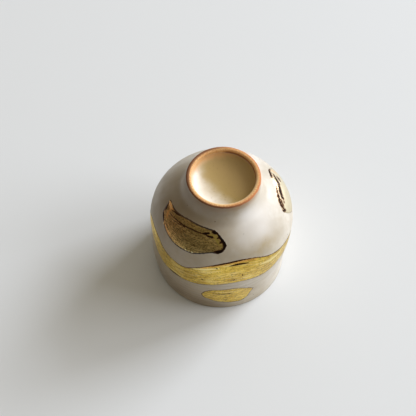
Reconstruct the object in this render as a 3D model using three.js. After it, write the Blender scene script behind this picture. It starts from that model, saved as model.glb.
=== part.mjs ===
// Gongfu teacup: a small round tea bowl, thrown and turned in one piece of fine stoneware.
// It stands upside down on its lip, so its foot ring is on top and the bowl opens downwards.
// Millimetres, +Z up. The origin is the middle of the lip's plane, and Z is the cup's axis.

import * as THREE from 'three';

// Driving dimensions
const bellyRadius = 30; // outer radius at the widest place
const bellyHeight = 31.5; // height of the widest place above the lip
const bendHeight = 24; // where the wall's straight run from the lip bends upright
const lipTuck = 1.8; // how far the wall draws in from the belly to the lip
const shoulderRise = 22.4; // rise of the shoulder's ellipse from the belly to the cup's axis
const wallThickness = 2.6; // wall at the belly
const lipThickness = 1.8; // wall at the lip
const crownThickness = 3.8; // from the bowl's floor to the top of the shoulder's ellipse
const floorThickness = 3; // clay between the bowl's floor and the hollow in the foot
const lipRound = 0.6; // rounding of the lip's two edges
const footRadius = 15.1; // outer radius of the foot ring at its crest
const footFlare = 1.1; // how much wider the foot ring is where it meets the shoulder
const footHeight = 8.1; // crest of the foot ring above the shoulder
const footFillet = 3; // reach of the hollow curve between the foot ring and the shoulder
const footRimWidth = 2.2; // width of the foot ring's crest
const footRound = 0.6; // rounding of the crest's two edges

// Fineness of the round forms
const turnSteps = 80; // flat sides around the axis, a multiple of four
const wallSteps = 6;
const domeSteps = 10;
const dishSteps = 7;
const filletSteps = 4;
const roundSteps = 2;
const quarterTurn = Math.PI / 2;
const halfTurn = Math.PI;
const sameSpot = 0.0001; // points closer than this are one point

// Sizes that follow from the driving dimensions
const lipRadius = bellyRadius - lipTuck;
const bowlRadius = bellyRadius - wallThickness;
const bowlMouthRadius = lipRadius - lipThickness;
const bowlRise = shoulderRise - crownThickness;
const footBaseRadius = footRadius + footFlare;
const crestHeight = shoulderHeight(footBaseRadius) + footHeight;
const dishRadius = footRadius - footRimWidth;
const dishEdgeHeight = crestHeight - footRound;
const dishDepth = dishEdgeHeight - (bellyHeight + bowlRise + floorThickness);

// Height of the shoulder's ellipse at a radius
function shoulderHeight(radius) {
  return bellyHeight + shoulderRise * Math.sqrt(1 - (radius / bellyRadius) ** 2);
}

// Arc of an ellipse about a centre, between two angles from the radius direction
function arc(centreRadius, centreHeight, reach, rise, from, to) {
  return new THREE.EllipseCurve(centreRadius, centreHeight, reach, rise, from, to, from > to);
}

// Side wall: leaves the lip straight, bends, and is upright at the belly
function sideWall(edgeRadius, widestRadius) {
  const edge = new THREE.Vector2(edgeRadius, lipRound);
  const bend = new THREE.Vector2(widestRadius, bendHeight);
  const belly = new THREE.Vector2(widestRadius, bellyHeight);
  return new THREE.QuadraticBezierCurve(edge, bend, belly);
}

// Shoulder from the belly to where the hollow curve of the foot begins
function shoulder() {
  const end = Math.acos((footBaseRadius + footFillet) / bellyRadius);
  return arc(0, bellyHeight, bellyRadius, shoulderRise, 0, end);
}

// Hollow curve that runs off the shoulder and up into the foot ring's wall
function footHollow() {
  const startRadius = footBaseRadius + footFillet;
  const start = new THREE.Vector2(startRadius, shoulderHeight(startRadius));
  const corner = new THREE.Vector2(footBaseRadius, shoulderHeight(footBaseRadius));
  const wallTop = new THREE.Vector2(footRadius, crestHeight - footRound);
  const upTheWall = wallTop.clone().sub(corner).normalize();
  const end = corner.clone().addScaledVector(upTheWall, footFillet);
  return new THREE.QuadraticBezierCurve(start, corner, end);
}

// Points along a chain of curves, with a straight line wherever the next curve starts elsewhere
function trace(chain) {
  const points = [];
  for (const [curve, steps] of chain) {
    for (const point of curve.getPoints(steps)) {
      const isNew = points.length === 0 || point.distanceTo(points.at(-1)) > sameSpot;
      if (isNew) points.push(point);
    }
  }
  points[0].x = 0;
  points.at(-1).x = 0;
  return points;
}

// Half section, from the middle of the bowl's floor round the lip and up to the middle of the foot
function cupProfile() {
  const outerRound = lipRadius - lipRound;
  const innerRound = bowlMouthRadius + lipRound;
  const crestOuterRound = footRadius - footRound;
  const crestInnerRound = dishRadius + footRound;
  const risingWall = sideWall(bowlMouthRadius, bowlRadius);
  const bowlWall = new THREE.QuadraticBezierCurve(risingWall.v2, risingWall.v1, risingWall.v0);
  return trace([
    [arc(0, bellyHeight, bowlRadius, bowlRise, quarterTurn, 0), domeSteps],
    [bowlWall, wallSteps],
    [arc(innerRound, lipRound, lipRound, lipRound, -halfTurn, -quarterTurn), roundSteps],
    [arc(outerRound, lipRound, lipRound, lipRound, -quarterTurn, 0), roundSteps],
    [sideWall(lipRadius, bellyRadius), wallSteps],
    [shoulder(), domeSteps],
    [footHollow(), filletSteps],
    [arc(crestOuterRound, dishEdgeHeight, footRound, footRound, 0, quarterTurn), roundSteps],
    [arc(crestInnerRound, dishEdgeHeight, footRound, footRound, quarterTurn, halfTurn), roundSteps],
    [arc(0, dishEdgeHeight, dishRadius, dishDepth, 0, -quarterTurn), dishSteps],
  ]);
}

// Satin off-white glaze over a sandy clay
const glaze = new THREE.MeshStandardMaterial({ color: 0xd6cfc6, roughness: 0.35, metalness: 0 });

function teacup() {
  const geometry = new THREE.LatheGeometry(cupProfile(), turnSteps);
  geometry.rotateX(quarterTurn);
  const mesh = new THREE.Mesh(geometry, glaze);
  mesh.name = 'teacup';
  return mesh;
}

const cup = new THREE.Group();
cup.add(teacup());

export default cup;
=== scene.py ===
import math

import bpy
import numpy as np
from mathutils import Matrix, Vector


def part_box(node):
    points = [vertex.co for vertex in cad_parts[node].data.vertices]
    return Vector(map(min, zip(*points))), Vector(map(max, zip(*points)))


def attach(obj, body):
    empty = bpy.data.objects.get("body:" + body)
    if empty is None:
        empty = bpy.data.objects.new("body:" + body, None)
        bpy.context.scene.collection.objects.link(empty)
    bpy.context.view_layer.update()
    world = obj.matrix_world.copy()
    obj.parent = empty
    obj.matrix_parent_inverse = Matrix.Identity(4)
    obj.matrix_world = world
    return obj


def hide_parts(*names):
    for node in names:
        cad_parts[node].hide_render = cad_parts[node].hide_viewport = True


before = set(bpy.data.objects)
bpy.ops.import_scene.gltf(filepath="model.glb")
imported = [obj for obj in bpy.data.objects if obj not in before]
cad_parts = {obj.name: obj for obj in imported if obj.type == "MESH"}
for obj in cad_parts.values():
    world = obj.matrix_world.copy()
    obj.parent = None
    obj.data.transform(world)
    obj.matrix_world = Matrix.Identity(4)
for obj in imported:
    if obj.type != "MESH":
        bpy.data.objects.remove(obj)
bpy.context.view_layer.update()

# A handmade gongfu teacup, upside down on its lip. One piece of stoneware: thrown wall and
# shoulder, turned foot ring, satin glaze, and strokes of gold lustre fired on top of it.
# The cup's axis is Z, the strokes face -Y, and +X is to the right of the picture.

# Sizes, in millimetres
MM = 0.001  # one of them in the frame's metres
node_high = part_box("teacup")[1]
SKIN = 0.22  # room for the glaze's waves and the raised gold inside the solid's box
CREST_ROOM = 0.02
BELLY_RADIUS = node_high[0] / MM - SKIN
CREST_HEIGHT = node_high[2] / MM - CREST_ROOM
BELLY_HEIGHT = 31.5
BEND_HEIGHT = 24.0
LIP_TUCK = 1.8
SHOULDER_RISE = 22.4
WALL = 2.6
LIP_WIDTH = 1.8
LIP_ROUND = 0.6
CROWN = 3.8
FLOOR = 3.0
FOOT_RADIUS = 15.1
FOOT_FLARE = 1.1
FOOT_FILLET = 3.0
FOOT_RIM = 2.2
FOOT_ROUND = 0.95

# What the hand and the kiln left uneven, in millimetres
THROWING_PITCH = 2.2
THROWING_HEIGHT = 0.04
OVAL_HEIGHT = 0.06
WOBBLE_HEIGHT = 0.03
WAIST_HEIGHT = 11
WAIST_REACH = 9
WAIST_LEAN = 0.8
FOOT_SHIFT = 0.18
BEAD_HEIGHT = 0.2
SPECK_HALF_WIDTH = 0.34

COLUMNS = 400  # faces round the cup, under half a millimetre wide at the belly
FAR = 1e3  # further than any place on the cup, in millimetres
OFF_GOLD = -50.0  # the edge of a place that no stroke is near
OFF_MARK = -3.0  # the same for drawn lines and dots

# Places on the cup's outside. Each point is an angle round the cup in degrees, with -90
# towards the camera, and a climb in millimetres along the surface from the lip.

# The gold strokes, as the brush laid them: both edges run from the first tip to the last
BAND_UPPER = [(-180, 33.5), (-168, 36.9), (-158, 36.9), (-148, 35.9), (-139, 33.2), (-128, 31.3),
              (-119, 31.4), (-107, 35), (-95, 38), (-84, 39.6), (-72, 40.1), (-60, 38.9), (-48, 36.1),
              (-36, 34.1), (-20, 32.6), (-9, 31)]
BAND_LOWER = [(-180, 33.5), (-166, 31), (-156, 25.5), (-147, 21.8), (-134, 20.2), (-120, 20.1),
              (-106, 21.2), (-92, 23.1), (-78, 24.3), (-68, 24.2), (-52, 22.8), (-38, 23.2),
              (-24, 25.6), (-9, 31)]
LEAF_UPPER = [(-168, 50), (-166, 50.8), (-160, 51), (-150, 51.4), (-142, 52.1), (-130, 53.1), (-116, 53.3),
              (-102, 53.2), (-95, 52.6), (-90, 50.9), (-86, 49), (-83.5, 47.2)]
LEAF_LOWER = [(-168, 50), (-165, 48.8), (-163, 46.8), (-160, 45), (-154, 43.7), (-147, 42.2), (-139, 41.1),
              (-128, 40.4), (-114, 40.9), (-104, 42.5), (-97, 43.5), (-91, 43.5), (-86.5, 44.8),
              (-83.5, 47.2)]
PATCH_UPPER = [(-103, 12.5), (-100.5, 15.6), (-95, 17.8), (-86, 18.8), (-76, 19), (-69, 17.6), (-62, 15.3),
               (-57, 13)]
PATCH_LOWER = [(-103, 12.5), (-101, 10.2), (-96, 8.6), (-88, 6.6), (-78, 5.6), (-69, 5.2), (-63, 7),
               (-60, 10), (-57, 13)]
SPRIG_UPPER = [(39, 44.3), (37, 47.4), (33, 49.6), (25, 50.7), (16, 50.9), (10, 50.1), (0, 49.7), (-6, 48.8),
               (-10, 46.6), (-12.5, 44.6), (-10, 42), (-6, 39.2), (-1, 36.8)]
SPRIG_LOWER = [(39, 44.3), (37.5, 41), (31, 38.5), (20, 36.6), (8, 36), (-1, 36.8)]
BACK_UPPER = [(62, 28), (80, 35.5), (104, 38.6), (130, 36), (150, 31)]
BACK_LOWER = [(62, 28), (78, 27), (100, 30.2), (128, 29.6), (150, 31)]
BUD_UPPER = [(92, 12), (104, 16.6), (120, 15.4), (132, 11)]
BUD_LOWER = [(92, 12), (106, 8), (122, 7.6), (132, 11)]

# Each stroke's edges, how far it stands out in millimetres, and how dark and how pale it fired
STROKES = {
    "band": (BAND_UPPER, BAND_LOWER, 0.04, 0.0, 0.0),
    "leaf": (LEAF_UPPER, LEAF_LOWER, 0.11, 1.0, 0.0),
    "patch": (PATCH_UPPER, PATCH_LOWER, 0.04, 0.0, 0.0),
    "sprig": (SPRIG_UPPER, SPRIG_LOWER, 0.07, 0.0, 1.0),
    "back": (BACK_UPPER, BACK_LOWER, 0.04, 0.1, 0.0),
    "bud": (BUD_UPPER, BUD_LOWER, 0.04, 0.0, 0.0),
}

# Dark lines and blobs where the lustre ran thick and burnt, with half their width in millimetres
BURNT_LINES = [
    ([(-154, 48.3), (-147, 48.8), (-140, 49.3), (-130, 49.8), (-120, 50.3), (-109, 50.5)], 0.3),
    ([(-153, 47.4), (-146, 47.9), (-138, 48.7), (-130, 49.3)], 0.18),
    ([(-111, 50.4), (-107, 50.8), (-103, 51.4)], 0.5),
    ([(-106, 50.4), (-102, 50.1), (-98, 50.1)], 0.45),
    ([(-100, 52.1), (-98, 52.2), (-95.5, 51.9)], 0.75),
    ([(-95, 52.2), (-91.5, 51), (-88.5, 49.6), (-85.8, 47.8), (-86, 46.2), (-88, 45)], 0.8),
    ([(-91, 50.4), (-93, 49.9)], 0.36),
    ([(-88, 48.6), (-90.5, 48)], 0.36),
    ([(-95, 44.3), (-91, 44.3), (-88, 45)], 0.85),
    ([(-163.5, 49), (-162.3, 48.2), (-160, 47)], 0.45),
    ([(-160.5, 46.2), (-157, 44.9), (-153, 44.2)], 0.42),
    ([(-160.5, 47.4), (-157.5, 46.3), (-153, 45.1), (-147, 44), (-141, 43.2)], 0.18),
    ([(-156, 49.6), (-150, 50.5), (-143, 51.4)], 0.3),
    ([(-82, 37.5), (-77, 38), (-72, 37.9), (-66.5, 37.5)], 0.42),
    ([(-96, 37.2), (-88, 38.6), (-80, 39.4), (-72, 39.7), (-64, 39.1)], 0.3),
    ([(-93, 36.9), (-91, 35.8)], 0.26),
    ([(-71.5, 30.8), (-70.8, 29.3)], 0.28),
    ([(-81, 27.4), (-78, 27.2), (-77, 28)], 0.22),
    ([(-104, 26.6), (-102, 25.8)], 0.24),
    ([(-136, 20.8), (-122, 20.8)], 0.5),
    ([(-94, 15.2), (-88, 14.6), (-80, 14.6), (-75, 15)], 0.24),
    ([(-91, 7.6), (-88.5, 7.2)], 0.24),
    ([(36, 47.6), (34, 48.8), (29.7, 49.6), (24, 50.2)], 0.6),
    ([(10.9, 49.4), (5.4, 49.3), (1.2, 48.9), (-1.4, 48.5), (-6, 47.4), (-8.4, 46), (-9.1, 44.6)], 0.62),
    ([(-12, 45), (-10.3, 44.3), (-9, 43.5)], 0.62),
    ([(28.1, 47.7), (24.3, 47.8), (20.5, 47.5), (16.8, 47)], 0.72),
    ([(17, 47.1), (12, 47.4), (7.5, 47.3), (4.2, 46.9), (1.8, 46.5), (0.9, 45.8)], 0.85),
    ([(-2, 47.2), (-4.5, 46.4), (-6.5, 45.2)], 0.42),
    ([(26, 45.8), (24.3, 45.3), (22.3, 45)], 0.66),
    ([(-1.6, 45.4), (-2.4, 44.9)], 0.34),
    ([(84, 31.4), (98, 34.2), (112, 34.4)], 0.26),
]

# Where the lustre fired to a coppery orange
COPPER_LINES = [
    ([(-167, 50), (-162, 50.2), (-156, 50.1)], 0.75),
    ([(-157, 49.6), (-156, 47.6), (-152, 46.2)], 0.45),
    ([(-164, 47.6), (-161, 45.9), (-155, 44.4), (-148, 43.1), (-140, 42.2)], 0.2),
    ([(-104, 35.2), (-96, 37), (-88, 38.4), (-78, 39.1), (-68, 39), (-60, 38)], 0.25),
    ([(24, 50.2), (17.7, 50.4), (12, 49.9)], 0.3),
    ([(34.5, 47.4), (33, 45.6), (31.4, 43.9)], 0.3),
    ([(134, 33.4), (146, 31.4)], 0.5),
]

# Paler streaks, where the lustre drew thin between the burnt lumps and under the band's edge
PALE_LINES = [
    ([(-102, 50.8), (-98, 50.9), (-94.5, 49.5), (-91.5, 47.8), (-88.5, 46.8)], 0.45),
    ([(-96, 51.2), (-92.5, 50.6)], 0.25),
    ([(-113, 32.8), (-104, 34.2), (-96, 35.6), (-90, 36.4)], 0.5),
    ([(-56, 33.4), (-44, 31.6), (-33, 31)], 0.9),
]

# Beads that ran down to the edges of the leaf, and a smooth pool in the sprig, each with a painted glint in
# its colour
BEADS = [
    ([(-167, 50.1), (-162, 50.3), (-157, 50.1)], 0.5),
    ([(-152, 43.6), (-150.5, 42.3)], 0.5),
    ([(-120.3, 41.6), (-119.6, 41.4)], 0.5),
    ([(-117, 41.7), (-116.6, 41.4)], 0.42),
    ([(-114.2, 42), (-113.6, 41.6)], 0.56),
    ([(15.5, 48.9), (20, 48.8)], 0.45),
    ([(9, 48.5), (12.5, 48.6)], 0.3),
]

# Iron specks that show from the camera
SPECKS = [(-65.5, 50.4), (-60, 44.2), (-46.5, 43.8), (-146, 56.5), (-99, 56.4), (-38, 29.5)]

# Soft spots in the glaze: angle, climb, spread in millimetres and amount. The white ones are partly
# painted highlight where the lamps fall on the front right, and most grey ones are painted shade on
# the left and front left, by the lip and in the crease under the foot.
TAN_SPOTS = [(-105, 30, 34, 0.3), (-47, 43.5, 3, 0.6), (-65, 45.5, 4, 0.5), (-78, 51, 4, 0.25),
             (-56, 41.5, 4, 0.35), (-40, 41, 5, 0.25), (-50, 10, 10, 0.45), (-56, 24, 6, 0.3),
             (-56, 60.5, 4, 0.4), (-72, 61, 4, 0.4), (-40, 60, 3, 0.3), (110, 46, 6, 0.5), (160, 24, 7, 0.4)]
WHITE_AND_HIGHLIGHT_SPOTS = [(-55, 52, 6, 0.3), (-48, 47.5, 4, 0.4), (-57, 58, 4, 0.6), (-38, 46, 4, 0.25),
               (-71, 50, 5, 0.35), (-42, 57, 5, 0.35), (-30, 54, 5, 0.3), (-64, 46, 4, 0.3),
               (-36, 12, 9, 0.35), (-60, 20, 5, 0.3), (60, 50, 6, 0.3)]
GREY_AND_SHADE_SPOTS = [(-140, 36, 26, 0.45), (-146, 57, 15, 0.4), (-168, 44, 9, 0.12), (-150, 10, 14, 0.4),
              (-92, 57, 5, 0.15), (-116, 6, 11, 0.55), (-92, 2, 8, 0.55), (80, 14, 9, 0.4)]


def line(start, end, steps):
    """Straight run of points: start + t (end - start), t even from 0 to 1."""
    t = np.linspace(0, 1, steps + 1)[:, None]
    return np.array(start) + t * (np.array(end) - np.array(start))


def arc(centre, reach, rise, start, end, steps):
    """Arc of an ellipse: centre + (reach cos t, rise sin t), t even between two angles in degrees."""
    t = np.radians(np.linspace(start, end, steps + 1))
    return np.stack([centre[0] + reach * np.cos(t), centre[1] + rise * np.sin(t)], axis=1)


def bend(start, corner, end, steps):
    """Quadratic curve: (1 - t)^2 start + 2 t (1 - t) corner + t^2 end."""
    t = np.linspace(0, 1, steps + 1)[:, None]
    return (1 - t) ** 2 * np.array(start) + 2 * t * (1 - t) * np.array(corner) + t**2 * np.array(end)


def shoulder_height(radius):
    """Height of the shoulder's ellipse over a radius."""
    return BELLY_HEIGHT + SHOULDER_RISE * math.sqrt(1 - (radius / BELLY_RADIUS) ** 2)


def cup_profile():
    """Half section as (radius, height) points in millimetres, and the row of the lip's middle and
    of the crest's middle. It runs from the middle of the bowl's floor down the inside, round
    the lip, up the wall and shoulder, over the foot ring and into the middle of its hollow. The
    last number of each run is its count of steps."""
    lip = BELLY_RADIUS - LIP_TUCK
    mouth = lip - LIP_WIDTH
    bowl = BELLY_RADIUS - WALL
    bowl_rise = SHOULDER_RISE - CROWN
    base = FOOT_RADIUS + FOOT_FLARE
    edge = CREST_HEIGHT - FOOT_ROUND
    dish = FOOT_RADIUS - FOOT_RIM
    dish_depth = edge - (BELLY_HEIGHT + bowl_rise + FLOOR)
    foot_out = base + FOOT_FILLET
    turn = math.degrees(math.acos(foot_out / BELLY_RADIUS))
    corner = np.array([base, shoulder_height(base)])
    wall_top = np.array([FOOT_RADIUS, edge])
    hollow_top = corner + FOOT_FILLET * (wall_top - corner) / np.linalg.norm(wall_top - corner)
    inside = [
        arc((0, BELLY_HEIGHT), bowl, bowl_rise, 90, 0, 22),
        bend((bowl, BELLY_HEIGHT), (bowl, BEND_HEIGHT), (mouth, LIP_ROUND), 12),
        arc((mouth + LIP_ROUND, LIP_ROUND), LIP_ROUND, LIP_ROUND, -180, -90, 5),
        line((mouth + LIP_ROUND, 0), ((mouth + lip) / 2, 0), 1),
    ]
    outside = [
        line(((mouth + lip) / 2, 0), (lip - LIP_ROUND, 0), 1),
        arc((lip - LIP_ROUND, LIP_ROUND), LIP_ROUND, LIP_ROUND, -90, 0, 5),
        bend((lip, LIP_ROUND), (BELLY_RADIUS, BEND_HEIGHT), (BELLY_RADIUS, BELLY_HEIGHT), 78),
        arc((0, BELLY_HEIGHT), BELLY_RADIUS, SHOULDER_RISE, 0, turn, 64),
        bend((foot_out, shoulder_height(foot_out)), corner, hollow_top, 12),
        line(hollow_top, wall_top, 10),
        arc((FOOT_RADIUS - FOOT_ROUND, edge), FOOT_ROUND, FOOT_ROUND, 0, 90, 6),
        line((FOOT_RADIUS - FOOT_ROUND, CREST_HEIGHT), (dish + FOOT_RIM / 2, CREST_HEIGHT), 2),
    ]
    hollow = [
        line((dish + FOOT_RIM / 2, CREST_HEIGHT), (dish + FOOT_ROUND, CREST_HEIGHT), 2),
        arc((dish + FOOT_ROUND, edge), FOOT_ROUND, FOOT_ROUND, 90, 180, 5),
        arc((0, edge), dish, dish_depth, 0, -90, 20),
    ]
    runs = [run[:-1] for run in inside + outside + hollow] + [hollow[-1][-1:]]
    lip_row = sum(len(run) - 1 for run in inside)
    crest_row = lip_row + sum(len(run) - 1 for run in outside)
    profile = np.concatenate(runs)
    profile[[0, -1], 0] = 0
    return profile, lip_row, crest_row


def climb_along(profile, start_row):
    """Length along the profile in millimetres, counted from one row: running sum of the steps."""
    steps = np.hypot(*np.diff(profile, axis=0).T)
    climb = np.concatenate([[0], np.cumsum(steps)])
    return climb - climb[start_row]


def smooth_line(points, steps=14):
    """Catmull-Rom curve through the points. Between p1 and p2, with neighbours p0 and p3, it is
    half of 2 p1 + (p2 - p0) t + (2 p0 - 5 p1 + 4 p2 - p3) t^2 + (3 p1 - p0 - 3 p2 + p3) t^3."""
    p = np.array(points, dtype=float)
    p = np.concatenate([[2 * p[0] - p[1]], p, [2 * p[-1] - p[-2]]])
    p0, p1, p2, p3 = (p[k : len(p) - 3 + k, None, :] for k in range(4))
    t = np.linspace(0, 1, steps, endpoint=False)[None, :, None]
    curve = p1 + 0.5 * (
        (p2 - p0) * t + (2 * p0 - 5 * p1 + 4 * p2 - p3) * t**2 + (3 * p1 - p0 - 3 * p2 + p3) * t**3
    )
    return np.concatenate([curve.reshape(-1, 2), p[-2:-1]])


def beside_line(curve, angle, climb, radius):
    """Along, across and distance in millimetres of every point of the surface from a curve on it:
    its foot on the nearest straight step, with angles turned to lengths at the point's radius."""
    scale = np.radians(radius)
    along = np.zeros_like(angle)
    across = np.full_like(angle, FAR)
    nearest = np.full_like(angle, FAR)
    run = 0.0
    for (angle_a, climb_a), (angle_b, climb_b) in zip(curve[:-1], curve[1:]):
        to_x, to_y = (angle - angle_a) * scale, climb - climb_a
        step_x, step_y = (angle_b - angle_a) * scale, climb_b - climb_a
        length = np.hypot(step_x, step_y) + 1e-9
        share = np.clip((to_x * step_x + to_y * step_y) / length**2, 0, 1)
        distance = np.hypot(to_x - share * step_x, to_y - share * step_y)
        side = (step_x * to_y - step_y * to_x) / length
        closer = distance < nearest
        nearest = np.where(closer, distance, nearest)
        along = np.where(closer, run + share * length, along)
        across = np.where(closer, np.where(side < 0, -distance, distance), across)
        run = run + length
    return along, across, nearest


def inside_outline(outline, angle, climb):
    """True where a point is inside a closed outline: an odd number of its sides lies to the right."""
    odd = np.zeros(angle.shape, dtype=bool)
    for (angle_a, climb_a), (angle_b, climb_b) in zip(outline, np.roll(outline, -1, axis=0)):
        if climb_a == climb_b:
            continue
        crossing = angle_a + (climb - climb_a) / (climb_b - climb_a) * (angle_b - angle_a)
        odd ^= ((climb_a > climb) != (climb_b > climb)) & (angle < crossing)
    return odd


def brush_stroke(upper, lower, angle, climb, radius):
    """Along, across and edge of a stroke, in millimetres. The first two follow the line midway
    between its edges, and edge is how far inside the outline a point is, negative outside."""
    top, bottom = smooth_line(upper), smooth_line(lower)
    share = np.linspace(0, 1, 60)
    middle = [
        np.stack([np.interp(share, np.linspace(0, 1, len(side)), side[:, k]) for k in (0, 1)], axis=1)
        for side in (top, bottom)
    ]
    along, across, _ = beside_line((middle[0] + middle[1]) / 2, angle, climb, radius)
    outline = np.concatenate([top, bottom[-2:0:-1]])
    _, _, distance = beside_line(np.concatenate([outline, outline[:1]]), angle, climb, radius)
    edge = np.where(inside_outline(outline, angle, climb), distance, -distance)
    return along, across, edge


def gilding(angle, climb, radius):
    """Along, across and edge of the nearest stroke at every point of the outside, and how far
    that stroke stands out, how dark and how pale it is."""
    best = np.full(angle.shape + (3,), OFF_GOLD)
    nature = np.zeros(angle.shape + (3,))
    for upper, lower, *kind in STROKES.values():
        # the outside repeats every turn, so a stroke that starts behind -180 is met from there
        middle_angle = (upper[0][0] + upper[-1][0]) / 2
        turned = (angle - middle_angle + 180) % 360 - 180 + middle_angle
        stroke = np.stack(brush_stroke(upper, lower, turned, climb, radius), axis=-1)
        closer = stroke[..., 2:] > best[..., 2:]
        best = np.where(closer, stroke, best)
        nature = np.where(closer, kind, nature)
    return best, nature


def drawn(lines, angle, climb, radius):
    """How far inside the nearest drawn line a point is, in millimetres and negative outside: the
    line's half width, which shrinks to a third at both ends, less the distance from its middle."""
    best = np.full(angle.shape, OFF_MARK)
    for points, half_width in lines:
        along, _, distance = beside_line(smooth_line(points, 6), angle, climb, radius)
        width = half_width * (0.35 + 0.65 * np.sin(np.pi * along / along.max()))
        best = np.maximum(best, width - distance)
    return best


def spots(places, angle, climb, radius):
    """Sum over soft spots of amount exp(-(distance / spread)^2), from 0 to 1."""
    total = np.zeros_like(climb)
    for spot_angle, spot_climb, spread, amount in places:
        sideways = np.radians((angle - spot_angle + 180) % 360 - 180) * radius
        total = total + amount * np.exp(-(sideways**2 + (climb - spot_climb) ** 2) / spread**2)
    return np.clip(total, 0, 1)


def step_up(value, low, high):
    """Smooth step from 0 at low to 1 at high: t^2 (3 - 2 t), t the share of the way."""
    t = np.clip((value - low) / (high - low), 0, 1)
    return t * t * (3 - 2 * t)


def relief(angle, climb):
    """How far the surface stands out, in millimetres: a shallow throwing spiral on the wall, and
    two slow waves round the cup. Both vanish at the lip and under the foot ring."""
    turn = np.radians(angle)
    spiral = THROWING_HEIGHT * np.sin(2 * np.pi * climb / THROWING_PITCH + turn)
    slow = OVAL_HEIGHT * np.sin(2 * turn + 0.7) + WOBBLE_HEIGHT * np.sin(3 * turn + climb / 9)
    on_wall = step_up(climb, 1, 6) * step_up(climb, 40, 24)
    below_foot = step_up(climb, 1, 7) * step_up(climb, 57, 49)
    return spiral * on_wall + slow * below_foot


def lean(height):
    """Sideways shift of the turned form in millimetres: the waist above the lip leans to -X, and
    the foot ring, turned on its own, sits a little to +X."""
    waist = np.exp(-(((height - WAIST_HEIGHT) / WAIST_REACH) ** 2))
    return -WAIST_LEAN * waist + FOOT_SHIFT * step_up(height, 46, 56)


def grid_faces(rows, columns):
    """Faces of a closed grid of points, numbered row by row between two poles: four-sided between
    rows, with the next point round the cup beside each, and a fan of triangles at each pole."""
    number = 1 + np.arange(rows * columns).reshape(rows, columns)
    beside = np.roll(number, -1, axis=1)
    quads = np.stack([number[:-1], beside[:-1], beside[1:], number[1:]], axis=-1).reshape(-1, 4)
    floor_fan = np.stack([np.zeros(columns, int), beside[0], number[0]], axis=-1)
    dish_fan = np.stack([np.full(columns, number[-1, -1] + 1), number[-1], beside[-1]], axis=-1)
    return quads.tolist() + floor_fan.tolist() + dish_fan.tolist()


def with_poles(values, at_pole):
    """The values of the grid's points in a row, with the poles' own before and after them."""
    flat = values.reshape(-1, *values.shape[2:])
    pole = np.full((1,) + flat.shape[1:], at_pole, dtype=float)
    return np.concatenate([pole, flat, pole])


def cup_mesh():
    """The cup's surface: a grid of the profile's rows by even angles, moved along the profile's
    normal by the relief and the raised gold, with one point at each pole."""
    profile, lip_row, crest_row = cup_profile()
    climb = climb_along(profile, lip_row)
    tangent = np.gradient(profile, axis=0)
    tangent /= np.linalg.norm(tangent, axis=1, keepdims=True)
    rows = slice(1, len(profile) - 1)
    angle = np.broadcast_to(np.linspace(-180, 180, COLUMNS, endpoint=False), (len(profile) - 2, COLUMNS))
    climbs = np.broadcast_to(climb[rows, None], angle.shape)
    radius = np.broadcast_to(profile[rows, :1], angle.shape)
    outside = climbs > 1

    gold, nature = gilding(angle, climbs, radius)
    gold[~outside] = (0, 0, OFF_GOLD)
    dots = [([(a - 0.2, c), (a + 0.2, c)], SPECK_HALF_WIDTH) for a, c in SPECKS]
    burns, coppers, beads, veins, specks = (
        np.where(outside, drawn(lines, angle, climbs, radius), OFF_MARK)
        for lines in (BURNT_LINES, COPPER_LINES, BEADS, PALE_LINES, dots)
    )
    clouds = [spots(places, angle, climbs, radius) for places in (TAN_SPOTS, WHITE_AND_HIGHLIGHT_SPOTS, GREY_AND_SHADE_SPOTS)]
    raised = nature[..., 0] * step_up(gold[..., 2], -0.1, 0.7) + BEAD_HEIGHT * step_up(beads, -0.3, 0.35)
    push = relief(angle, climbs) + np.where(outside, raised, 0)

    out_radius = profile[rows, :1] + push * tangent[rows, 1:]
    height = profile[rows, 1:] - push * tangent[rows, :1]
    turn = np.radians(angle)
    points = np.stack(
        [out_radius * np.cos(turn) + lean(height), out_radius * np.sin(turn), height], axis=-1
    )
    first = np.array([[lean(profile[0, 1]), 0, profile[0, 1]]])
    last = np.array([[lean(profile[-1, 1]), 0, profile[-1, 1]]])
    vertices = np.concatenate([first, points.reshape(-1, 3), last]) * MM
    faces = grid_faces(*angle.shape)

    mesh = bpy.data.meshes.new("teacup_body")
    mesh.from_pydata(vertices.tolist(), [], faces)
    mesh.polygons.foreach_set("use_smooth", np.ones(len(faces), dtype=bool))
    store(mesh, "gilding", "FLOAT_VECTOR", with_poles(gold, OFF_GOLD))
    store(mesh, "nature", "FLOAT_VECTOR", with_poles(nature, 0))
    store(mesh, "marks", "FLOAT_VECTOR", with_poles(np.stack([burns, coppers, beads], axis=-1), OFF_MARK))
    store(mesh, "clouds", "FLOAT_VECTOR", with_poles(np.stack(clouds, axis=-1), 0))
    store(mesh, "specks", "FLOAT", with_poles(specks, OFF_MARK))
    store(mesh, "veins", "FLOAT", with_poles(veins, OFF_MARK))
    from_crest = np.concatenate([climb[:1], climbs.reshape(-1), climb[-1:]]) - climb[crest_row]
    store(mesh, "from_crest", "FLOAT", from_crest)
    return mesh


def store(mesh, name, kind, values):
    """Writes one value per vertex to a named attribute."""
    field = {"FLOAT": "value", "FLOAT_VECTOR": "vector"}[kind]
    attribute = mesh.attributes.new(name, kind, "POINT")
    attribute.data.foreach_set(field, np.ascontiguousarray(values, dtype=np.float32).reshape(-1))


def linear(colour):
    """sRGB hex, such as "d8b45a", to linear red, green, blue and alpha."""
    parts = [int(colour[k : k + 2], 16) / 255 for k in (0, 2, 4)]
    return [v / 12.92 if v <= 0.04045 else ((v + 0.055) / 1.055) ** 2.4 for v in parts] + [1]


def per_mm(size):
    """Scale of a pattern whose features are about a size in millimetres."""
    return 1 / (size * MM)


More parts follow.
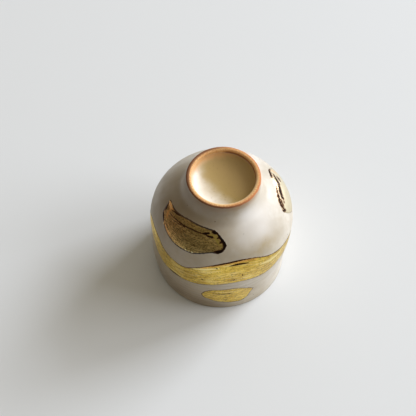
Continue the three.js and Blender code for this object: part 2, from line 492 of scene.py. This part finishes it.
# Kinds of shader node: the type, its settings, the inputs that are fed, in order, and the output.
# Where the output is None, all of them are given.
PLACE = ("TexCoord", {}, (), "Object")
WAY_OUT = ("TexCoord", {}, (), "Generated")  # the direction of the sky, read by the world alone
NUMBER_FIELD = ("Attribute", {}, (), "Fac")
VECTOR_FIELD = ("Attribute", {}, (), "Vector")
MIX = ("Mix", {"data_type": "RGBA"}, (0, 6, 7), 2)  # colour between two others, by a share
BETWEEN = ("Mix", {"data_type": "FLOAT"}, (0, 2, 3), 0)  # number between two others, by a share
RAMP = (  # smooth way from 0 to 1, or between two given numbers, while a value goes from low to high
    "MapRange", {"interpolation_type": "SMOOTHSTEP"},
    ("Value", "From Min", "From Max", "To Min", "To Max"), 0,
)
PLUS = ("Math", {"operation": "ADD"}, (0, 1), 0)
MINUS = ("Math", {"operation": "SUBTRACT"}, (0, 1), 0)
TIMES = ("Math", {"operation": "MULTIPLY"}, (0, 1), 0)
TIMES_PLUS = ("Math", {"operation": "MULTIPLY_ADD"}, (0, 1, 2), 0)
LARGER = ("Math", {"operation": "MAXIMUM"}, (0, 1), 0)
WITHOUT_SIGN = ("Math", {"operation": "ABSOLUTE"}, (0,), 0)
ALONG = ("VectorMath", {"operation": "DOT_PRODUCT"}, (0, 1), "Value")  # metres along a direction
VECTOR = ("CombineXYZ", {}, (0, 1, 2), 0)
PARTS = ("SeparateXYZ", {}, (0,), None)
COLOUR_PARTS = ("SeparateColor", {}, (0,), None)
NOISE = ("TexNoise", {}, ("Vector", "Scale", "Detail"), "Fac")  # clouds from 0 to 1
CELLS = ("TexVoronoi", {}, ("Vector", "Scale"), None)
BUMP = ("Bump", {}, ("Strength", "Distance", "Height"), "Normal")
SURFACE = ("BsdfPrincipled", {}, ("Base Color", "Metallic", "Roughness", "IOR", "Normal"), 0)
FINISH = ("OutputMaterial", {}, ("Surface",), None)


def add(tree, kind, *feeds, **settings):
    """Adds a node of a kind, sets its properties, feeds each input from a socket or with a value,
    and gives its output."""
    node_type, own_settings, inputs, output = kind
    node = tree.nodes.new("ShaderNode" + node_type)
    for name, value in {**own_settings, **settings}.items():
        setattr(node, name, value)
    for key, value in zip(inputs, feeds):
        if isinstance(value, bpy.types.NodeSocket):
            tree.links.new(value, node.inputs[key])
        else:
            node.inputs[key].default_value = value
    return node.outputs if output is None else node.outputs[output]


# Directions round the foot, in the cup's own axes
FRONT_LEFT_SIDE = (-0.75, -0.65, 0)  # the front left: the lit side of the foot's hollow, which gets a painted highlight, and the shaded side of the foot's outside, which gets painted shade
FRONT_SIDE = (0.2, -0.97, 0)  # where the glaze is warmest below the bare clay
# the front right, where a painted highlight lies along the foot's crest
CREST_HIGHLIGHT_SIDE = (0.55, -0.83, 0)
SMOKED_SIDE = (-0.85, 0.5, 0)
BLUSH_SIDE = (-0.75, 0.66, 0)  # where the clay's colour bleeds into the glaze of the foot's hollow; with the front left it also marks the lit side of the hollow's edge

# Finishes: depths of the fine relief in millimetres, and the shader's typical values
DIMPLE_DEPTH = 0.014
PIT_DEPTH = 0.003
FURROW_DEPTH = 0.022
WRINKLE_DEPTH = 0.02
FILM_HEIGHT = 0.03
BURNT_HEIGHT = 0.06
SAND_DEPTH = 0.03
GOLD_METALLIC = 0.94
TARNISHED_METALLIC = 0.15
BURNT_ROUGHNESS = 0.6
CLAY_ROUGHNESS = 0.8
GLAZE_IOR = 1.5


def satin_glaze(tree, place, crest, clouds, front_left):
    """Satin feldspar glaze, dipped and wood fired. It is milky where thick, warm grey where thin,
    and tan at the lip and under the bare clay, where it drew back; at the lip painted contact
    shadow darkens it too. White spots are partly painted highlight and most grey spots are painted
    shade. Iron in the clay bleeds through as small specks, and the surface is softly dimpled, so
    lights on it are broad and slightly broken."""
    tan_spots, white_and_highlight_spots, grey_and_shade_spots = clouds[0], clouds[1], clouds[2]
    thick = add(tree, RAMP, add(tree, NOISE, place, per_mm(11), 3.0), 0.3, 0.7)
    colour = add(tree, MIX, thick, linear("c2b7a4"), linear("ded6c8"))
    fine = add(tree, RAMP, add(tree, NOISE, place, per_mm(2.2), 3.0), 0.35, 0.7, 0.0, 0.4)
    colour = add(tree, MIX, fine, colour, linear("c8baa3"))
    # mostly painted shade: the grey spots darken the sides that turn from the lamps
    colour = add(tree, MIX, grey_and_shade_spots, colour, linear("7f664c"))
    broken = add(tree, RAMP, add(tree, NOISE, place, per_mm(3.5), 3.0), 0.25, 0.75, 0.4, 1.0)
    colour = add(tree, MIX, add(tree, TIMES, tan_spots, broken), colour, linear("b39b68"))
    # partly painted highlight: white spots lighten where the lamps fall on the front right
    colour = add(tree, MIX, white_and_highlight_spots, colour, linear("f2ece4"))

    # iron specks: small discs round some of the cells of a four millimetre grain
    grain = add(tree, CELLS, place, per_mm(4))
    near = add(tree, RAMP, grain["Distance"], 0.075, 0.045)
    chosen = add(tree, COLOUR_PARTS, grain["Color"])[0]
    speck = add(tree, TIMES, near, add(tree, RAMP, chosen, 0.62, 0.7, 0.0, 0.75))
    colour = add(tree, MIX, speck, colour, linear("6f563e"))
    drawn_speck = add(tree, RAMP, add(tree, NUMBER_FIELD, attribute_name="specks"), -0.06, 0.14, 0.0, 0.9)
    colour = add(tree, MIX, drawn_speck, colour, linear("5d452f"))

    # throwing lines on the wall, where the glaze ran off the ridges
    wavering = add(tree, TIMES, add(tree, NOISE, place, per_mm(16)), 3.0)
    ridges = add(tree, NOISE, add(tree, VECTOR, add(tree, TIMES, crest, 1.1), wavering), 1.0)
    ridges = add(tree, RAMP, ridges, 0.45, 0.7, 0.0, 0.45)
    ridges = add(tree, TIMES, ridges, add(tree, RAMP, crest, -38.0, -46.0))
    colour = add(tree, MIX, ridges, colour, linear("b7a480"))

    # the lip: darker where the glaze is thinnest, with painted contact shadow where it meets the table
    profile, lip_row, crest_row = cup_profile()
    lip_to_crest = climb_along(profile, lip_row)[crest_row]
    from_lip = add(tree, WITHOUT_SIGN, add(tree, PLUS, crest, lip_to_crest))
    wander = add(tree, TIMES_PLUS, add(tree, NOISE, place, per_mm(3)), 1.2, from_lip)
    colour = add(tree, MIX, add(tree, RAMP, wander, 2.4, 0.9, 0.0, 0.8), colour, linear("7d6644"))

    # the foot's wall, where it ran thin below the bare clay: warmer at the front, and darker grey-brown at
    # the front left, which is painted shade where the wall turns from the lamps
    front = add(tree, RAMP, add(tree, ALONG, place, FRONT_SIDE), 0.0, 0.012)
    warm = add(tree, TIMES_PLUS, add(tree, NOISE, place, per_mm(3)), 1.5, crest)
    warm = add(tree, TIMES, add(tree, RAMP, warm, -3.6, -0.6, 0.0, 0.75), front)
    colour = add(tree, MIX, warm, colour, linear("b08656"))
    thin = add(tree, TIMES_PLUS, add(tree, NOISE, place, per_mm(4)), 3.0, crest)
    thin = add(tree, TIMES, add(tree, RAMP, thin, -7.5, -0.5, 0.0, 0.7), front_left)
    colour = add(tree, MIX, thin, colour, linear("86735c"))

    roughness = add(tree, RAMP, add(tree, NOISE, place, per_mm(5), 3.0), 0.3, 0.7, 0.32, 0.44)
    dimples = add(tree, TIMES, add(tree, NOISE, place, per_mm(1.6)), DIMPLE_DEPTH)
    pits = add(tree, TIMES, add(tree, NOISE, place, per_mm(0.45), 1.0), PIT_DEPTH)
    return colour, roughness, add(tree, PLUS, dimples, pits)


def bright_gold(tree, place, along, across, furrows, wrinkles):
    """Colour of the gold where it is bright: furrowed and dragged along the brush's way, with
    creases and duller clots."""
    colour = add(tree, MIX, add(tree, RAMP, furrows, 0.35, 0.65), linear("d5ae40"), linear("f8dc6c"))
    duller = add(tree, RAMP, add(tree, NOISE, place, per_mm(4)), 0.4, 0.7, 0.0, 0.35)
    colour = add(tree, MIX, duller, colour, linear("b78a3a"))
    creases = add(tree, RAMP, wrinkles, 0.5, 0.36)
    colour = add(tree, MIX, add(tree, TIMES, creases, 0.5), colour, linear("8f6f28"))
    brush_way = add(tree, VECTOR, add(tree, TIMES, along, 0.12), add(tree, TIMES, across, 0.7), 3.0)
    drags = add(tree, NOISE, brush_way, 1.0)
    colour = add(tree, MIX, add(tree, RAMP, drags, 0.5, 0.72, 0.0, 0.7), colour, linear("fbe59a"))
    colour = add(tree, MIX, add(tree, RAMP, drags, 0.46, 0.28, 0.0, 0.6), colour, linear("a57e33"))
    clotted = add(tree, RAMP, add(tree, NOISE, place, per_mm(9)), 0.45, 0.62, 0.0, 0.55)
    clots = add(tree, RAMP, add(tree, NOISE, place, per_mm(1.1), 3.0), 0.54, 0.66)
    return add(tree, MIX, add(tree, TIMES, clots, clotted), colour, linear("7d5f2c"))


def dark_gold(tree, place, along, across, furrows, wrinkles):
    """Colour of the thick gold of the leaf: coppery brown at its tip and olive at its broad end,
    duller along its upper side, and stippled all over."""
    mottle = add(tree, RAMP, add(tree, TIMES_PLUS, wrinkles, 0.6, furrows), 0.6, 1.0)
    tip = add(tree, MIX, mottle, linear("ba8450"), linear("ffc98c"))
    broad_end = add(tree, MIX, mottle, linear("8a6e42"), linear("e6c684"))
    colour = add(tree, MIX, add(tree, RAMP, along, 7.0, 25.0), tip, broad_end)
    colour = add(tree, MIX, add(tree, RAMP, across, 1.2, 3.2, 0.0, 0.45), colour, linear("7c6a3c"))
    stipple = add(tree, RAMP, add(tree, NOISE, place, per_mm(0.6), 3.0), 0.5, 0.64, 0.0, 0.6)
    return add(tree, MIX, stipple, colour, linear("3a2a16"))


def gold_lustre(tree, place, gold, nature, marks):
    """Liquid bright gold brushed over the fired glaze and fired again: a metal film a fraction of
    a millimetre thick. Its furrows follow the brush, it wrinkles where it pooled, turns coppery
    where thin, and has a burnt brown edge. The leaf is the thickest and darkest."""
    along, across, edge = gold[0], gold[1], gold[2]
    darkness, paleness = nature[1], nature[2]
    burns, coppers, beads = marks[0], marks[1], marks[2]
    brush_way = add(tree, VECTOR, add(tree, TIMES, along, 0.35), add(tree, TIMES, across, 2.6), darkness)
    furrows = add(tree, NOISE, brush_way, 1.0, 3.0)
    wrinkles = add(tree, NOISE, place, per_mm(0.7), 3.0)
    colour = bright_gold(tree, place, along, across, furrows, wrinkles)
    dark = dark_gold(tree, place, along, across, furrows, wrinkles)
    colour = add(tree, MIX, add(tree, TIMES, darkness, 0.85), colour, dark)
    colour = add(tree, MIX, add(tree, TIMES, paleness, 0.85), colour, linear("e4dac0"))

    # pale and coppery streaks
    streak = add(tree, RAMP, add(tree, NUMBER_FIELD, attribute_name="veins"), -0.4, 0.35, 0.0, 0.85)
    colour = add(tree, MIX, streak, colour, add(tree, MIX, darkness, linear("f9e7a0"), linear("bba650")))
    uneven = add(tree, MINUS, wrinkles, 0.5)
    copper = add(tree, RAMP, add(tree, TIMES_PLUS, uneven, 1.2, coppers), -0.7, 0.8, 0.0, 0.9)
    colour = add(tree, MIX, copper, colour, linear("fba955"))

    # the burnt edge, wider on the leaf and darkest at its broad end
    inwards = add(tree, TIMES_PLUS, darkness, -0.22, edge)
    heavy = add(tree, TIMES, darkness, add(tree, RAMP, along, 4.0, 30.0, 0.1, 1.0))
    rim = add(tree, RAMP, add(tree, TIMES_PLUS, uneven, 0.5, inwards), 0.62, 0.22)
    rim = add(tree, TIMES, rim, add(tree, RAMP, paleness, 0.0, 1.0, 1.0, 0.35))
    colour = add(tree, MIX, rim, colour, add(tree, MIX, heavy, linear("54351a"), linear("24180d")))

    # burnt lines and lumps, with a brown fringe where the gold is pale, and beads painted with a pale glint
    fringe = add(tree, TIMES, add(tree, RAMP, burns, -0.8, 0.0, 0.0, 0.8), paleness)
    colour = add(tree, MIX, fringe, colour, linear("8a6540"))
    broken = add(tree, TIMES, uneven, add(tree, RAMP, paleness, 0.0, 1.0, 0.8, 2.2))
    burnt = add(tree, RAMP, add(tree, PLUS, broken, burns), -0.12, 0.06)
    scorched = add(tree, MIX, add(tree, RAMP, burns, -0.05, 0.3), linear("643f20"), linear("1e1008"))
    colour = add(tree, MIX, burnt, colour, scorched)
    # painted glint: the beads are coloured near white, coppery where copper lies
    bead_glint = add(tree, RAMP, beads, -0.05, 0.1)
    colour = add(tree, MIX, bead_glint, colour, add(tree, MIX, copper, linear("fff0b4"), linear("ffab55")))

    tarnished = add(tree, LARGER, rim, copper)
    metal = add(tree, RAMP, tarnished, 0.0, 1.0, GOLD_METALLIC, TARNISHED_METALLIC)
    metal = add(tree, BETWEEN, burnt, metal, GOLD_METALLIC)
    roughness = add(tree, RAMP, furrows, 0.3, 0.7, 0.42, 0.3)
    roughness = add(tree, TIMES_PLUS, bead_glint, -0.15, roughness)
    roughness = add(tree, BETWEEN, burnt, roughness, BURNT_ROUGHNESS)
    height = add(tree, RAMP, edge, -0.05, 0.3, 0.0, FILM_HEIGHT)
    height = add(tree, TIMES_PLUS, furrows, FURROW_DEPTH, height)
    height = add(tree, TIMES_PLUS, wrinkles, WRINKLE_DEPTH, height)
    height = add(tree, TIMES_PLUS, burnt, BURNT_HEIGHT, height)
    return colour, metal, roughness, height


def bare_clay(tree, place, crest, front_left, lit_side):
    """Fine sandy stoneware, turned and wiped clean so that the foot doesn't stick in the kiln. It
    fired peach on the crest and redder down its sides, has no gloss, and is burnt brown outside
    where smoke passed it at the back left. Painted shade darkens its outer side at the front left
    and its inner edge away from the lamps, and a painted highlight lies along the crest at the front
    right."""
    sand = add(tree, NOISE, place, per_mm(0.5), 3.0)
    colour = add(tree, MIX, add(tree, RAMP, sand, 0.3, 0.7), linear("dca160"), linear("f5ca8b"))
    blush = add(tree, RAMP, add(tree, NOISE, place, per_mm(7)), 0.35, 0.65, 0.0, 0.5)
    colour = add(tree, MIX, blush, colour, linear("db9555"))
    sandy_edge = add(tree, TIMES_PLUS, sand, 0.5, crest)
    colour = add(tree, MIX, add(tree, RAMP, sandy_edge, 0.25, -0.45), colour, linear("c57a46"))
    # painted shade: the ring's outer side at the front left, which turns from the lamps, is darker brown
    outer_shade = add(tree, TIMES, add(tree, RAMP, sandy_edge, -0.2, -0.5), front_left)
    colour = add(tree, MIX, outer_shade, colour, linear("7d5334"))
    # painted highlight: a pale peach streak along the crest at the front right
    front = add(tree, RAMP, add(tree, ALONG, place, CREST_HIGHLIGHT_SIDE), 0.001, 0.011)
    crest_highlight = add(tree, TIMES, add(tree, RAMP, crest, -0.1, 1.0, 0.0, 0.8), front)
    colour = add(tree, MIX, crest_highlight, colour, linear("f9e0ae"))
    behind = add(tree, RAMP, add(tree, ALONG, place, SMOKED_SIDE), 0.003, 0.012)
    smoked = add(tree, TIMES, behind, add(tree, RAMP, sandy_edge, 1.0, 0.2, 0.0, 0.9))
    colour = add(tree, MIX, smoked, colour, linear("80502f"))
    # painted shade: the ring's inner edge is darker on the side of the hollow away from the lamps
    shaded_side = add(tree, RAMP, lit_side, 0.3, 0.8, 1.0, 0.0)
    inner_shade = add(tree, TIMES, add(tree, RAMP, crest, 1.1, 1.6), shaded_side)
    colour = add(tree, MIX, inner_shade, colour, linear("a0683f"))
    return colour, add(tree, TIMES, sand, SAND_DEPTH)


def foot_glaze(tree, place, crest, front_left, lit_side):
    """The same glaze poured into the hollow of the foot: straw to olive where it lies thin, with a
    few fine iron specks, and a painted highlight in milky cream on the lit front left. The clay's
    orange bleeds into it at the back left, and its edge by the bare clay is painted brown in shade
    on the right and pale peach on the lit side."""
    cloud = add(tree, NOISE, place, per_mm(6), 3.0)
    # painted highlight: the share of the lit front left, which turns the glaze milky cream
    side = add(tree, TIMES_PLUS, cloud, 0.5, front_left)
    thin = add(tree, MIX, add(tree, RAMP, side, 0.1, 0.9), linear("b89a62"), linear("b09559"))
    colour = add(tree, MIX, add(tree, RAMP, side, 0.62, 1.45), thin, linear("f1e8d8"))
    fine = add(tree, RAMP, add(tree, NOISE, place, per_mm(0.9), 3.0), 0.62, 0.74, 0.0, 0.25)
    colour = add(tree, MIX, fine, colour, linear("6f5630"))
    left = add(tree, RAMP, add(tree, ALONG, place, BLUSH_SIDE), 0.0, 0.011)
    blush = add(tree, TIMES_PLUS, add(tree, NOISE, place, per_mm(2.5)), 2.0, crest)
    blush = add(tree, TIMES, add(tree, RAMP, blush, 6.5, 2.5, 0.0, 0.8), left)
    colour = add(tree, MIX, blush, colour, linear("eeb174"))
    # painted shade and light on the hollow's edge by the bare clay: brown away from the lamps, pale peach on
    # the lit side
    meeting = add(tree, MIX, lit_side, linear("8a5a34"), linear("efc08a"))
    close = add(tree, RAMP, add(tree, TIMES_PLUS, cloud, 0.6, crest), 3.0, 1.4, 0.0, 0.85)
    return add(tree, MIX, close, colour, meeting)


def glazed_stoneware():
    """Satin glazed stoneware with gold lustre and a bare foot ring, in one material because the
    finishes run into each other on one fired piece."""
    material = bpy.data.materials.new("satin_glazed_stoneware_with_gold_lustre")
    material.use_nodes = True
    tree = material.node_tree
    tree.nodes.clear()
    place = add(tree, PLACE)
    crest = add(tree, NUMBER_FIELD, attribute_name="from_crest")
    gold, nature, marks, clouds = (
        add(tree, PARTS, add(tree, VECTOR_FIELD, attribute_name=name))
        for name in ("gilding", "nature", "marks", "clouds")
    )

    # shares from 0 to 1: how far a place lies to the front left, and the lit side of the foot's hollow,
    # where its edge gets no painted shade
    front_left = add(tree, RAMP, add(tree, ALONG, place, FRONT_LEFT_SIDE), -0.007, 0.012)
    left = add(tree, RAMP, add(tree, ALONG, place, BLUSH_SIDE), 0.005, 0.011)
    lit_side = add(tree, LARGER, front_left, left)

    glaze, glaze_rough, glaze_height = satin_glaze(tree, place, crest, clouds, front_left)
    lustre, metal, lustre_rough, lustre_height = gold_lustre(tree, place, gold, nature, marks)
    clay, clay_height = bare_clay(tree, place, crest, front_left, lit_side)
    hollow = foot_glaze(tree, place, crest, front_left, lit_side)

    # where each finish lies: ragged edges of the gold, wavering lines of the bare clay
    ragged = add(tree, TIMES_PLUS, add(tree, NOISE, place, per_mm(0.8), 3.0), 0.5, gold[2])
    is_gold = add(tree, RAMP, ragged, 0.22, 0.31)
    waver = add(tree, TIMES_PLUS, add(tree, NOISE, place, per_mm(1.5)), 0.5, crest)
    is_foot = add(tree, RAMP, waver, -1.1, -0.9)
    bare_inside = add(tree, MINUS, waver, add(tree, RAMP, front_left, 0.1, 0.7, 1.1, 0.0))
    is_hollow = add(tree, RAMP, bare_inside, 1.1, 1.7)
    is_clay = add(tree, MINUS, is_foot, is_hollow)

    colour = add(tree, MIX, is_gold, glaze, lustre)
    colour = add(tree, MIX, is_hollow, colour, hollow)
    colour = add(tree, MIX, is_clay, colour, clay)
    metallic = add(tree, TIMES, is_gold, metal)
    roughness = add(tree, BETWEEN, is_gold, glaze_rough, lustre_rough)
    roughness = add(tree, BETWEEN, is_clay, roughness, CLAY_ROUGHNESS)
    height = add(tree, BETWEEN, is_gold, glaze_height, lustre_height)
    height = add(tree, BETWEEN, is_clay, height, clay_height)
    normal = add(tree, BUMP, 1.0, MM, height)
    add(tree, FINISH, add(tree, SURFACE, colour, metallic, roughness, GLAZE_IOR, normal))
    return material


TABLE_SIZE = 6  # metres, so that no edge of it is in the picture


def floor():
    """A plain pale table top of matt laminate, which softens the cup's shadow and shows no gloss."""
    bpy.ops.mesh.primitive_plane_add(size=TABLE_SIZE, location=(0, 0, 0))
    table = bpy.context.object
    table.name = "table_top"
    material = bpy.data.materials.new("matt_white_laminate")
    material.use_nodes = True
    shader = material.node_tree.nodes["Principled BSDF"]
    shader.inputs["Base Color"].default_value = linear("e9eae9")
    shader.inputs["Roughness"].default_value = 0.8
    table.data.materials.append(material)


# The camera, fitted to the photograph: lengths in its pixels, angles in degrees
PICTURE = 416
LIP_PIXEL = (220.0, 251.9)  # where the middle of the lip falls
FOCAL_PIXELS = 1034.4
DEPTH = 0.460  # metres to the middle of the lip, along the line of sight at the picture's centre
ELEVATION = 59.0
ROLL = 2.37
SENSOR_WIDTH = 36  # millimetres


def camera():
    """Camera at the photograph's angle. Its axes are turned so that the lip's middle falls on its
    pixel while the picture's centre stays the optical centre."""
    elevation, roll = math.radians(ELEVATION), math.radians(ROLL)
    tilt = Matrix(((1, 0, 0), (0, math.sin(elevation), math.cos(elevation)),
                   (0, -math.cos(elevation), math.sin(elevation))))
    level = Matrix(((math.cos(roll), math.sin(roll), 0), (-math.sin(roll), math.cos(roll), 0), (0, 0, 1)))
    to_lip = Vector(((LIP_PIXEL[0] - PICTURE / 2) / FOCAL_PIXELS,
                     (PICTURE / 2 - LIP_PIXEL[1]) / FOCAL_PIXELS, -1))
    back = -to_lip.normalized()
    right = Vector((0, 1, 0)).cross(back).normalized()
    aim = Matrix((right, back.cross(right), back)).transposed()
    turn = aim @ level @ tilt
    data = bpy.data.cameras.new("view")
    data.sensor_width = SENSOR_WIDTH
    data.lens = FOCAL_PIXELS / PICTURE * SENSOR_WIDTH
    data.clip_start = 0.01
    shot = bpy.data.objects.new("view", data)
    bpy.context.collection.objects.link(shot)
    facing = turn.transposed()
    shot.matrix_world = Matrix.Translation(-(facing @ (to_lip * DEPTH))) @ facing.to_4x4()
    bpy.context.scene.camera = shot


# The lamps, each behind a large diffuser: direction from the cup as an angle round it and a
# height angle, both in degrees, the diffuser's width and height in metres, and watts
LAMPS = {
    "window": (38, 25, 1.4, 1.8, 103),
    "second_window": (1, 31, 1.6, 1.5, 38),
}
LAMP_DISTANCE = 3.0
BRIGHT_SIDE = (0.45, 0.2, 0.87)  # the way to the brightest part of the ceiling
ROOM_LOW, ROOM_HIGH = 0.06, 0.5  # how bright the room is away from it and there


def lights():
    """Two broad soft lamps side by side to the right and behind, and a dim room all round."""
    for name, (azimuth, elevation, width, height, power) in LAMPS.items():
        data = bpy.data.lights.new(name, "AREA")
        data.shape = "RECTANGLE"
        data.size, data.size_y = width, height
        data.energy = power
        data.color = linear("edf3ff")[:3]
        turn, rise = math.radians(azimuth), math.radians(elevation)
        outwards = Vector((math.cos(turn) * math.cos(rise), math.sin(turn) * math.cos(rise), math.sin(rise)))
        lamp = bpy.data.objects.new(name, data)
        bpy.context.collection.objects.link(lamp)
        lamp.location = outwards * LAMP_DISTANCE
        lamp.rotation_euler = (-outwards).to_track_quat("-Z", "Y").to_euler()
    world = bpy.data.worlds.new("room")
    world.use_nodes = True
    tree = world.node_tree
    background = tree.nodes["Background"]
    background.inputs["Color"].default_value = linear("f5ecd8")
    side = add(tree, ALONG, add(tree, WAY_OUT), BRIGHT_SIDE)
    brightness = add(tree, RAMP, side, -0.3, 1.0, ROOM_LOW, ROOM_HIGH)
    tree.links.new(brightness, background.inputs["Strength"])
    bpy.context.scene.world = world


cup = bpy.data.objects.new("teacup_body", cup_mesh())
bpy.context.collection.objects.link(cup)
cup.data.materials.append(glazed_stoneware())
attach(cup, "root")
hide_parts("teacup")

floor()
camera()
lights()
bpy.context.scene.view_settings.view_transform = "Standard"
